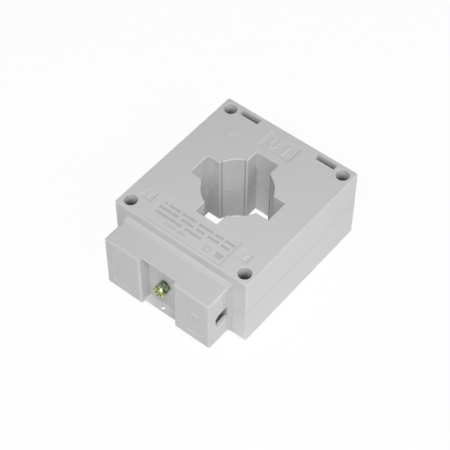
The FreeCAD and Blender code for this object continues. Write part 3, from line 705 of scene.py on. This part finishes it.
SINGLE_FINISHES = {
    "front_shell": CASE_GREY,
    "rear_shell": CASE_GREY,
    "terminal_base": BASE_GREY,
    "terminal_cover": COVER_GREY,
    "strip_core": CORE_STEEL,
    "core_cap_front": NYLON,
    "core_cap_rear": NYLON,
    "secondary_winding": COPPER,
    "winding_wrap": TAPE,
    "foam_ring_front": FOAM,
    "foam_ring_rear": FOAM,
    "cover_insert": BRASS,
    "cover_screw": SCREW_ZINC,
    "cover_screw_ring": ZINC,
}
PAIRED_FINISHES = {
    "lead": COPPER,
    "sleeve": SLEEVING,
    "terminal_plate": BRASS,
    "clamp_plate": ZINC,
    "spring_washer": ZINC,
    "terminal_screw": BRASS,
}


def node_finishes() -> dict[str, Finish]:
    """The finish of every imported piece.

    Returns:
        Finishes by the piece's name.
    """
    finishes = dict(SINGLE_FINISHES)
    for name, finish in PAIRED_FINISHES.items():
        for side in ("left", "right"):
            finishes[f"{name}_{side}"] = finish
    return finishes


def millimetre_box(node: str) -> tuple[Vector, Vector]:
    """Lowest and highest corner of a CAD node, in millimetres."""
    low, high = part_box(node)
    return low / MM, high / MM


def metre_mesh(name: str, mesh: bmesh.types.BMesh) -> bpy.types.Mesh:
    """Turn a mesh in millimetres into one in metres that an object can hold.

    Args:
        name: The new mesh's name.
        mesh: The mesh in millimetres, which is used up.

    Returns:
        The new mesh.
    """
    bmesh.ops.scale(mesh, vec=(MM, MM, MM), verts=mesh.verts)
    data = bpy.data.meshes.new(name)
    mesh.to_mesh(data)
    mesh.free()
    return data


def add_object(name: str, data: bpy.types.ID) -> bpy.types.Object:
    """Put a new object in the scene.

    Args:
        name: Its name.
        data: Its mesh, light or camera.

    Returns:
        The new object.
    """
    made = bpy.data.objects.new(name, data)
    bpy.context.scene.collection.objects.link(made)
    return made


def add_piece(
    name: str, mesh: bmesh.types.BMesh, finish: Finish, body: Body, smooth: float = 0.0
) -> bpy.types.Object:
    """Turn a finished mesh, in millimetres and in place, into a piece that rides on a body.

    Args:
        name: The piece's name.
        mesh: Its mesh, which is used up.
        finish: Its finish.
        body: The body that it moves with.
        smooth: Edges flatter than this many degrees are shaded smooth.

    Returns:
        The new object.
    """
    data = metre_mesh(name, mesh)
    if smooth:
        data.polygons.foreach_set("use_smooth", [True] * len(data.polygons))
        data.set_sharp_from_angle(angle=math.radians(smooth))
    data.materials.append(finish.material())
    piece = add_object(name, data)
    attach(piece, body.value)
    LOG.info("%s: %d faces on %s", name, len(data.polygons), body.value)
    return piece


def join_block(mesh: bmesh.types.BMesh, low: Spot, high: Spot) -> None:
    """Add a block to a mesh.

    Args:
        mesh: The mesh, in millimetres.
        low: The block's lowest corner.
        high: Its highest corner.
    """
    size = [upper - lower for lower, upper in zip(low, high)]
    middle = [(upper + lower) / 2 for lower, upper in zip(low, high)]
    place = Matrix.Translation(middle) @ Matrix.Diagonal((*size, 1.0))
    bmesh.ops.create_cube(mesh, size=1.0, matrix=place)


@dataclass(frozen=True)
class RaisedNumber:
    """A plain number raised on a moulding; lengths in millimetres."""

    name: str
    digits: str
    height: float
    spot: Spot
    upright: bool = False
    raised: float = 0.30
    rounding: float = 0.10
    rounding_steps: int = 2
    curve_steps: int = 4
    letter_spread: float = 1.35
    merge: float = 1e-4

    def build(self, finish: Finish, body: Body, slot: Slot) -> None:
        """Make the number.

        Args:
            finish: The finish of the moulding that it stands on.
            body: The body that carries it.
            slot: The slot of that moulding's plastic; not used.
        """
        curve = bpy.data.curves.new(self.name, "FONT")
        curve.body = self.digits
        curve.size = self.height
        curve.extrude = self.raised - self.rounding
        curve.bevel_depth = self.rounding
        curve.bevel_resolution = self.rounding_steps
        curve.space_character = self.letter_spread
        curve.align_x = "CENTER"
        curve.align_y = "CENTER"
        curve.resolution_u = self.curve_steps
        writing = bpy.data.objects.new(self.name + "_type", curve)
        shape = bpy.data.meshes.new_from_object(writing)
        mesh = bmesh.new()
        mesh.from_mesh(shape)
        bpy.data.meshes.remove(shape)
        bpy.data.objects.remove(writing)
        bpy.data.curves.remove(curve)
        bmesh.ops.remove_doubles(mesh, verts=mesh.verts, dist=self.merge)
        bmesh.ops.recalc_face_normals(mesh, faces=mesh.faces)
        place = Matrix.Translation(self.spot)
        if self.upright:
            place = place @ Matrix.Rotation(math.radians(90), 4, "X")
        bmesh.ops.transform(mesh, matrix=place, verts=mesh.verts)
        add_piece(self.name, mesh, finish, body)


@dataclass(frozen=True)
class Panel:
    """A shallow panel of the moulded face: centre, width, height and depth in millimetres."""

    x: float
    y: float
    width: float
    height: float
    depth: float


@dataclass
class Marks:
    """Printed and raised marks: bars for lines of print, painted shade lines along panel edges and plain
    numbers.
    """

    label_panel: Panel = Panel(0.0, -31.8, 44.0, 16.8, 0.15)
    primary_panel: Panel = Panel(0.0, 31.65, 18.4, 10.3, 0.30)
    left_panel: Panel = Panel(-28.4, -28.45, 6.5, 6.3, 0.30)
    right_panel: Panel = Panel(27.1, -28.45, 6.5, 6.3, 0.30)
    side_line: float = 0.55
    lower_line: float = 0.34
    edge_gap: float = 0.22
    print_thickness: float = 0.03
    letter_width: float = 0.62
    letter_step: float = 0.92
    letter_heights: tuple[float, ...] = (1.55, 1.30, 1.42, 1.20, 1.50)
    rows: dict[float, tuple[Pair, ...]] = field(
        default_factory=lambda: {
            -27.5: (
                (-19.2, -18.2), (-17.0, -10.5), (-9.5, -1.0), (0.3, 8.3), (9.6, 14.2), (15.2, 20.3)
            ),
            -30.5: ((-20.5, -9.5), (-7.8, -0.5), (1.0, 6.0), (7.6, 14.4), (15.3, 20.2)),
            -33.6: ((-19.8, -4.8), (-3.0, 6.5)),
        }
    )
    faint_row: float = -36.75
    faint_words: tuple[Pair, ...] = ((-12.3, -5.5), (-4.8, 0.0))
    ring_spot: Pair = (11.7, -36.0)
    ring_radius: float = 1.9
    ring_bore: float = 0.70
    ring_steps: int = 48
    badge_bars: tuple[float, ...] = (16.3, 17.3, 18.3, 19.3)
    badge_heights: Pair = (-37.4, -34.4)
    primary_type: float = 10.0
    corner_type: float = 5.4
    cheek_type: float = 9.0
    cheek_x: float = 21.9
    cheek_level: float = 21.0
    cheek_depth: float = 0.30

    def build(self) -> None:
        """Make every mark."""
        face = millimetre_box("front_shell")[1].z
        print_floor = face - self.label_panel.depth
        self.label(print_floor)
        self.ring(print_floor)
        self.badge(print_floor)
        self.edges(face)
        self.face_numbers(face)
        self.cheek_numbers()

    def label(self, floor: float) -> None:
        """Bars that stand for lines of print.

        Args:
            floor: Height of the panel that they are printed on, in millimetres.
        """
        bars = bmesh.new()
        for row, words in self.rows.items():
            self.print_row(bars, row, words, floor)
        add_piece("label_bars", bars, LINE_INK, Body.HOUSING)
        faint = bmesh.new()
        self.print_row(faint, self.faint_row, self.faint_words, floor)
        add_piece("label_bars_faint", faint, FAINT_INK_AND_SHADE, Body.HOUSING)

    def print_row(
        self, mesh: bmesh.types.BMesh, row: float, words: tuple[Pair, ...], floor: float
    ) -> None:
        """Add one line of print: short bars of a few heights in a row for each word.

        Args:
            mesh: The mesh, in millimetres.
            row: Place of the line's middle along Y.
            words: Start and end of each word along X.
            floor: Height that the print lies on.
        """
        top = floor + self.print_thickness
        for start, end in words:
            count = max(1, round((end - start) / self.letter_step))
            for letter in range(count):
                left = start + letter * self.letter_step
                half = self.letter_heights[letter % len(self.letter_heights)] / 2
                join_block(mesh, (left, row - half, floor), (left + self.letter_width, row + half, top))

    def ring(self, floor: float) -> None:
        """A plain ring in the label's corner.

        Args:
            floor: Height that it is printed on, in millimetres.
        """
        ring = bmesh.new()
        place = Matrix.Translation((*self.ring_spot, floor))
        outer = bmesh.ops.create_circle(
            ring, segments=self.ring_steps, radius=self.ring_radius, matrix=place
        )["verts"]
        rim = [edge for edge in ring.edges if edge.verts[0] in outer]
        inner = bmesh.ops.extrude_edge_only(ring, edges=rim)["geom"]
        moved = [item for item in inner if isinstance(item, bmesh.types.BMVert)]
        bore = (self.ring_bore, self.ring_bore, 1.0)
        bmesh.ops.scale(ring, vec=bore, space=place.inverted(), verts=moved)
        raised = bmesh.ops.extrude_face_region(ring, geom=ring.faces[:])["geom"]
        lifted = [item for item in raised if isinstance(item, bmesh.types.BMVert)]
        bmesh.ops.translate(ring, vec=(0, 0, self.print_thickness), verts=lifted)
        bmesh.ops.recalc_face_normals(ring, faces=ring.faces)
        add_piece("label_ring", ring, FAINT_INK_AND_SHADE, Body.HOUSING)

    def badge(self, floor: float) -> None:
        """A few upright bars in the label's corner.

        Args:
            floor: Height that they are printed on, in millimetres.
        """
        bars = bmesh.new()
        low, high = self.badge_heights
        top = floor + self.print_thickness
        for left in self.badge_bars:
            join_block(bars, (left, low, floor), (left + self.letter_width, high, top))
        add_piece("label_badge", bars, LINE_INK, Body.HOUSING)

    def edges(self, face: float) -> None:
        """Thin dark lines of painted shade in the panels' floors, along their right and lower edges.

        Args:
            face: Height of the marked face, in millimetres.
        """
        lines = bmesh.new()
        for panel in (self.label_panel, self.primary_panel, self.left_panel, self.right_panel):
            right = panel.x + panel.width / 2 - self.edge_gap
            left = panel.x - panel.width / 2 + self.edge_gap
            lower = panel.y - panel.height / 2 + self.edge_gap
            upper = panel.y + panel.height / 2 - self.edge_gap
            corner = lower + self.lower_line
            floor = face - panel.depth
            top = floor + self.print_thickness
            # Painted shade: dark lines in the creases at each panel's right and lower edges.
            join_block(lines, (right - self.side_line, corner, floor), (right, upper, top))
            join_block(lines, (left, lower, floor), (right, corner, top))
        add_piece("panel_crease_shade", lines, FAINT_INK_AND_SHADE, Body.HOUSING)

    def face_numbers(self, face: float) -> None:
        """Raised numbers in the panels of the face.

        Args:
            face: Height of the marked face, in millimetres.
        """
        for name, digits, height, panel in (
            ("number_primary", "01", self.primary_type, self.primary_panel),
            ("number_corner_left", "1", self.corner_type, self.left_panel),
            ("number_corner_right", "2", self.corner_type, self.right_panel),
        ):
            number = RaisedNumber(name, digits, height, (panel.x, panel.y, face - panel.depth))
            number.build(CASE_GREY, Body.HOUSING, Slot.CASE)

    def cheek_numbers(self) -> None:
        """Raised numbers on the cover's two cheeks."""
        floor = millimetre_box("terminal_cover")[0].y + self.cheek_depth
        for name, digits, x in (
            ("number_cheek_left", "1", -self.cheek_x),
            ("number_cheek_right", "2", self.cheek_x),
        ):
            spot = (x, floor, self.cheek_level)
            number = RaisedNumber(name, digits, self.cheek_type, spot, upright=True)
            number.build(COVER_GREY, Body.COVER, Slot.COVER)


@dataclass
class ThreadedScrew:
    """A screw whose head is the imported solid's and whose shank gets a real thread."""

    node: str
    body: Body
    slot: Slot
    finish: Finish
    seat: float
    smooth_length: float
    outer_radius: float = 1.95
    core_radius: float = 1.58
    pitch: float = 0.7
    flank: float = 0.8
    steps: int = 28
    merge: float = 1e-3
    smooth_angle: float = 35.0

    def build(self) -> None:
        """Cut the plain shank off a merged copy of the solid and put the threaded one on."""
        low, high = millimetre_box(self.node)
        middle = (low + high) / 2
        mesh = bmesh.new()
        mesh.from_mesh(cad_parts[self.node].data)
        bmesh.ops.scale(mesh, vec=(1 / MM,) * 3, verts=mesh.verts)
        bmesh.ops.remove_doubles(mesh, verts=mesh.verts, dist=self.merge)
        start = self.seat + self.smooth_length
        self.cut(mesh, start, 1)
        self.thread(mesh, Vector((middle.x, 0.0, middle.z)), start, high.y)
        name = self.node + "_threaded"
        piece = add_piece(name, mesh, self.finish, self.body, self.smooth_angle)
        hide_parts(self.node)

    @staticmethod
    def cut(mesh: bmesh.types.BMesh, place: float, outward: int) -> None:
        """Cut a mesh across Y and close the cut.

        Args:
            mesh: The mesh, in millimetres.
            place: Where it is cut, along Y.
            outward: 1 to take off what is above the cut, -1 for what is below it.
        """
        everything = mesh.verts[:] + mesh.edges[:] + mesh.faces[:]
        result = bmesh.ops.bisect_plane(
            mesh, geom=everything, plane_co=(0, place, 0), plane_no=(0, outward, 0), clear_outer=True
        )
        rim = [item for item in result["geom_cut"] if isinstance(item, bmesh.types.BMEdge)]
        bmesh.ops.holes_fill(mesh, edges=rim)

    def thread(self, mesh: bmesh.types.BMesh, axis: Vector, start: float, end: float) -> None:
        """Add a threaded shank to a mesh.

        Args:
            mesh: The mesh, in millimetres.
            axis: A point on the screw's axis, which is parallel to Y.
            start: Where the thread starts along Y.
            end: Where it ends.
        """
        shank = bmesh.new()
        # One turn to spare at each end, which the two cuts take off.
        turns = math.ceil((end - start) / self.pitch) + 2
        quarter = self.pitch / 4
        radii = (self.core_radius, self.core_radius, self.outer_radius, self.outer_radius)
        profile = []
        for turn in range(turns):
            base = start - self.pitch + turn * self.pitch
            for rise, radius in enumerate(radii):
                along = base + rise * quarter * (self.flank if rise % 2 else 1.0)
                profile.append(shank.verts.new((axis.x + radius, along, axis.z)))
        edges = [shank.edges.new(pair) for pair in zip(profile, profile[1:])]
        bmesh.ops.spin(
            shank, geom=profile + edges, cent=axis, axis=(0, 1, 0), angle=math.tau,
            dvec=(0, self.pitch / self.steps, 0), steps=self.steps, use_merge=False,
        )
        bmesh.ops.remove_doubles(shank, verts=shank.verts, dist=self.merge)
        self.cut(shank, start, -1)
        self.cut(shank, end, 1)
        bmesh.ops.recalc_face_normals(shank, faces=shank.faces)
        carrier = bpy.data.meshes.new("shank")
        shank.to_mesh(carrier)
        shank.free()
        mesh.from_mesh(carrier)
        bpy.data.meshes.remove(carrier)


@dataclass
class Screws:
    """The three screws; lengths in millimetres."""

    cover_neck: float = 2.25
    cover_smooth: float = 3.6
    terminal_smooth: float = 0.6

    def build(self) -> None:
        """Give each screw its thread."""
        seat = millimetre_box("cover_screw_ring")[0].y - self.cover_neck
        ThreadedScrew(
            "cover_screw", Body.COVER_SCREW, Slot.YELLOW_ZINC, SCREW_ZINC, seat, self.cover_smooth
        ).build()
        for node, body in (
            ("terminal_screw_left", Body.SCREW_LEFT),
            ("terminal_screw_right", Body.SCREW_RIGHT),
        ):
            seat = millimetre_box(node.replace("terminal_screw", "spring_washer"))[0].y
            ThreadedScrew(node, body, Slot.BRASS, BRASS, seat, self.terminal_smooth).build()


@dataclass
class PackedPieces:
    """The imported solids, which stay as they are and get their finish."""

    finishes: dict[str, Finish] = field(default_factory=node_finishes)

    def build(self) -> None:
        """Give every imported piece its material."""
        for name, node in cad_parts.items():
            material = self.finishes[name].material()
            for slot in node.material_slots:
                slot.material = material
            LOG.info("%s: %s", name, material.name)


@dataclass(frozen=True)
class Lamp:
    """A soft lamp that points at the object; degrees, watts and millimetres."""

    name: str
    azimuth: float
    height: float
    power: float
    distance: float = 850.0
    size: float = 320.0

    def build(self) -> None:
        """Hang the lamp."""
        light = bpy.data.lights.new(self.name, "AREA")
        light.shape = "DISK"
        light.size = self.size * MM
        light.energy = self.power
        turn, rise = math.radians(self.azimuth), math.radians(self.height)
        level = math.cos(rise)
        way = Vector((level * math.cos(turn), level * math.sin(turn), math.sin(rise)))
        holder = add_object(self.name, light)
        holder.location = way * self.distance * MM
        holder.rotation_euler = way.to_track_quat("Z", "Y").to_euler()


@dataclass
class Studio:
    """Floor, light and camera; lengths in millimetres, angles in degrees."""

    floor_side: float = 6000.0
    floor_drop: float = 0.02
    floor_tone: float = 0.93
    floor_glow: float = 0.96
    sky: float = 0.04
    shown_rays: tuple[str, str, str] = ("Is Camera Ray", "Is Glossy Ray", "Is Transmission Ray")
    lamps: tuple[Lamp, ...] = (
        Lamp("left", -90.0, 50.0, 1.48),
        Lamp("middle", -55.0, 57.0, 3.20),
        Lamp("right", -15.0, 40.0, 1.82),
        Lamp("far_right", 30.0, 20.0, 1.12),
    )
    camera_spot: Spot = (258.26, -330.94, 543.78)
    camera_turn: float = 38.735
    camera_height: float = 51.599
    camera_roll: float = 0.276
    focal_length: float = 114.618
    sensor: float = 36.0
    near_clip: float = 10.0

    def build(self) -> None:
        """Set up everything that isn't part of the object."""
        self.floor()
        self.world()
        for lamp in self.lamps:
            lamp.build()
        self.camera()
        bpy.context.scene.view_settings.view_transform = "Standard"

    def shown_ray(self, graph: Graph) -> Signal:
        """One for rays that show the background: to the camera, in gloss and through glass.

        Args:
            graph: The graph of the floor or the world.

        Returns:
            One for such a ray, else nought.
        """
        path = graph.add("ShaderNodeLightPath").socket.node
        seen, gloss, glass = (Signal(graph, path.outputs[kind]) for kind in self.shown_rays)
        return seen.larger(gloss.larger(glass))

    def floor(self) -> None:
        """Plain pale floor, which shows nearly white and keeps a soft shadow."""
        mesh = bmesh.new()
        place = Matrix.Translation((0, 0, -self.floor_drop))
        bmesh.ops.create_grid(mesh, x_segments=1, y_segments=1, size=self.floor_side / 2, matrix=place)
        data = metre_mesh("floor", mesh)
        material = bpy.data.materials.new("floor_white")
        graph = Graph(material)
        matt = graph.add("ShaderNodeBsdfDiffuse", values={"Color": (self.floor_tone,) * 3})
        glow = graph.add("ShaderNodeEmission", values={"Color": (1.0, 1.0, 1.0), "Strength": 1.0})
        share = self.shown_ray(graph) * self.floor_glow
        graph.show(graph.add("ShaderNodeMixShader", values={0: share, 1: matt, 2: glow}))
        data.materials.append(material)
        floor = add_object("floor", data)

    def world(self) -> None:
        """Sky light that is brightest near the horizon, shown as white."""
        world = bpy.data.worlds.new("studio")
        bpy.context.scene.world = world
        graph = Graph(world, "ShaderNodeOutputWorld")
        shown = self.shown_ray(graph)
        _, _, rise = graph.axes(graph.add("ShaderNodeTexCoord", output="Generated"))
        level = (1 - rise * rise) * self.sky
        values = {"Color": (1.0, 1.0, 1.0), "Strength": level + shown * (1 - level)}
        graph.show(graph.add("ShaderNodeBackground", values=values))

    def camera(self) -> None:
        """Camera at the photograph's viewing angle."""
        lens = bpy.data.cameras.new("camera")
        lens.sensor_width = self.sensor
        lens.lens = self.focal_length
        lens.clip_start = self.near_clip * MM
        holder = add_object("camera", lens)
        turn = Matrix.Rotation(math.radians(self.camera_turn), 4, "Z")
        tip = Matrix.Rotation(math.radians(90 - self.camera_height), 4, "X")
        roll = Matrix.Rotation(math.radians(self.camera_roll), 4, "Z")
        holder.matrix_world = Matrix.Translation(Vector(self.camera_spot) * MM) @ turn @ tip @ roll
        bpy.context.scene.camera = holder


def main() -> None:
    """Build the sub-assemblies in order."""
    logging.basicConfig(level=logging.INFO, format="%(message)s")
    for part in (PackedPieces(), Screws(), Marks(), Studio()):
        LOG.info("%s", type(part).__name__)
        part.build()


if __name__ == "__main__":
    main()
